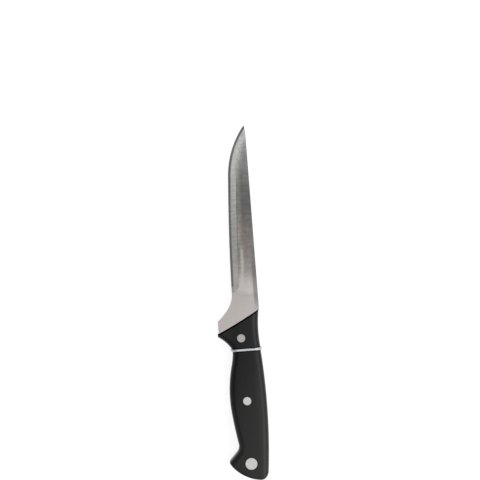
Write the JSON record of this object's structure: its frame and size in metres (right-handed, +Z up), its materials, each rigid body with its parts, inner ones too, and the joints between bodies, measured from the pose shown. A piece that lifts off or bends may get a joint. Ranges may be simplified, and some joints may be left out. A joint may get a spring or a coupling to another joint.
{
  "type": "carving knife",
  "caption": "Carving knife with a ground steel blade, flared heel, black moulded handle with a hooked butt, a proud steel collar and flush rivets.",
  "frame": {"origin": "middle of the bounding box, on the surface that the knife lies on", "axes": "+Y along the knife from the butt to the tip, +X from the cutting edge to the spine, +Z up through the thickness"},
  "size_m": [0.0351, 0.2838, 0.0164],
  "materials": {
    "blade_steel": "satin ground across the blade",
    "collar_steel": "polished steel",
    "rivet_steel": "fine satin, flush with the handle",
    "handle_plastic": "black satin moulded"
  },
  "bodies": {
    "root": {"blade": "blade_steel", "collar_ring": "collar_steel", "front_scale_left": "handle_plastic", "grip_scale_left": "handle_plastic", "front_scale_right": "handle_plastic", "grip_scale_right": "handle_plastic", "front_rivet_male": "rivet_steel", "front_rivet_female": "rivet_steel", "middle_rivet_male": "rivet_steel", "middle_rivet_female": "rivet_steel", "rear_rivet_male": "rivet_steel", "rear_rivet_female": "rivet_steel"}
  },
  "joints": []
}
